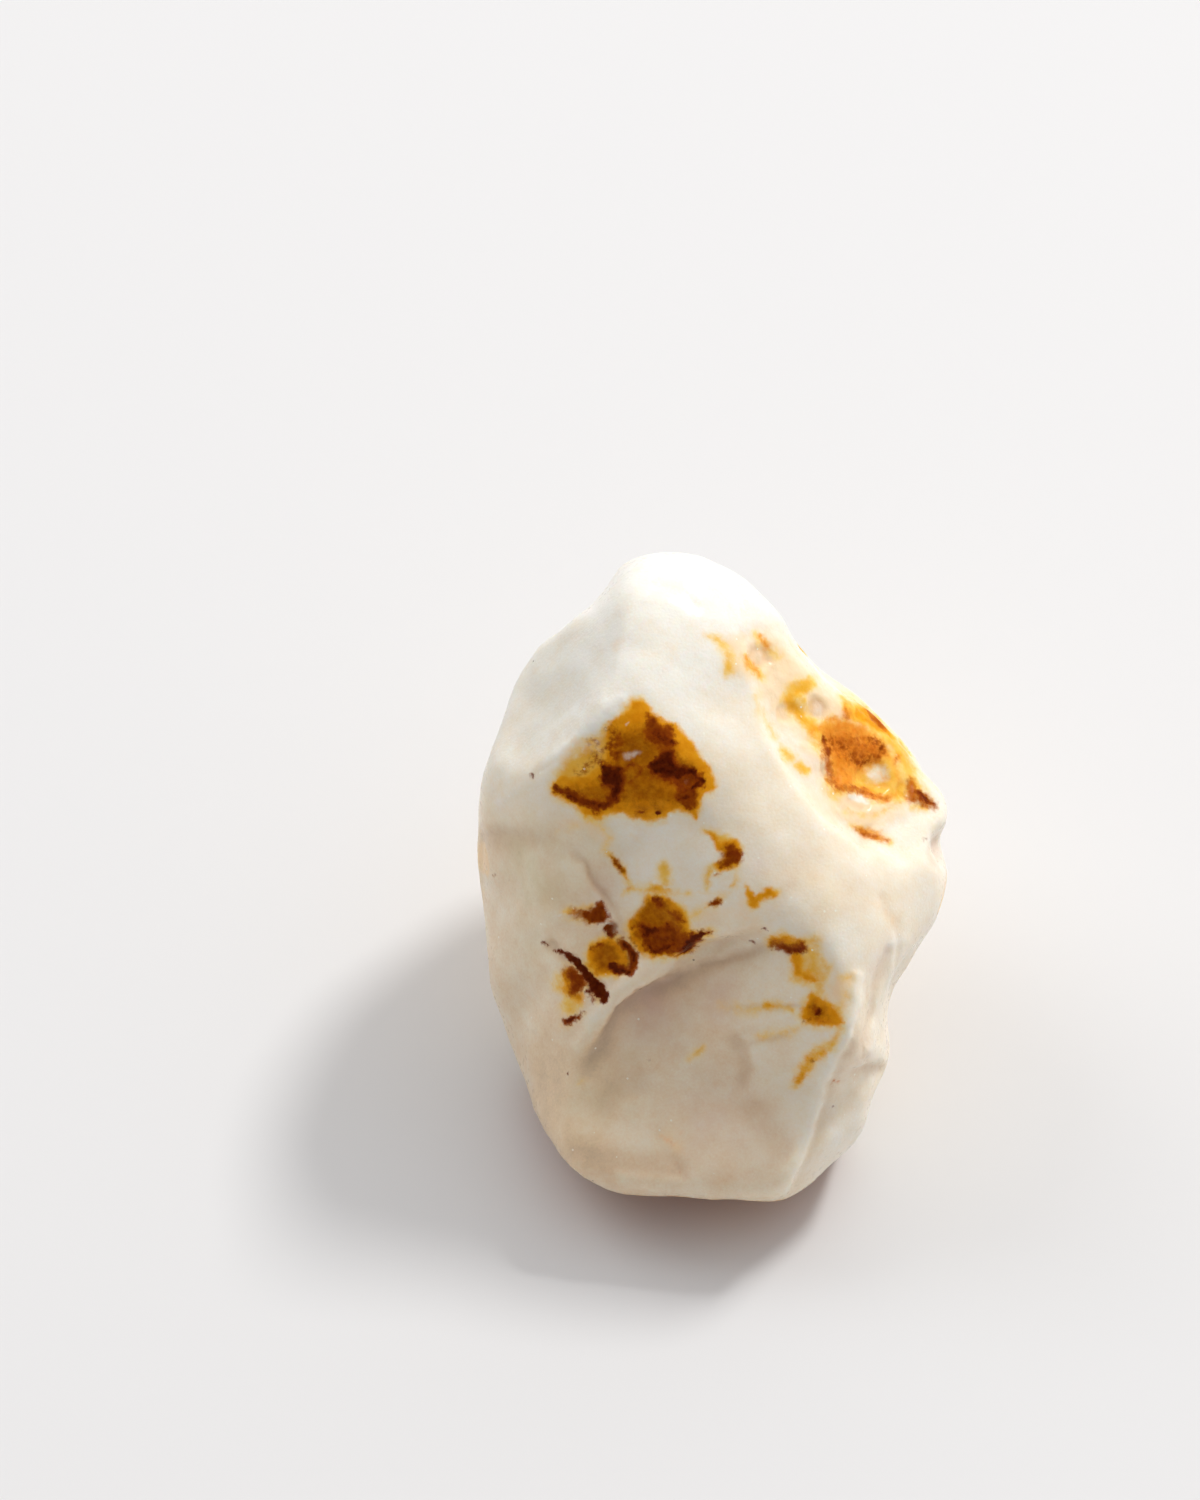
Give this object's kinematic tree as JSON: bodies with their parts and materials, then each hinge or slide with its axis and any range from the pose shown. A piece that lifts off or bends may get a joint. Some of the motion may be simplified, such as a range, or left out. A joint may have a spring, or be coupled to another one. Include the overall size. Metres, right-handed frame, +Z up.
{
  "type": "rough opal",
  "caption": "Rough lump of milky opal with broken facets, a shell-shaped hollow in its front and a pitted corner, resting on a flat fracture.",
  "frame": {"origin": "middle of the stone's footprint box, on the surface it rests on", "axes": "+Z up, -Y towards the side with the shell-shaped hollow, +X towards the pitted corner; as the stone rests"},
  "size_m": [0.0308, 0.035, 0.0319],
  "materials": {
    "milky_opal": "waxy, milky white opal, not clear, with rust-brown iron stains in its hollows"
  },
  "bodies": {
    "root": {"opal": "milky_opal"}
  },
  "joints": []
}
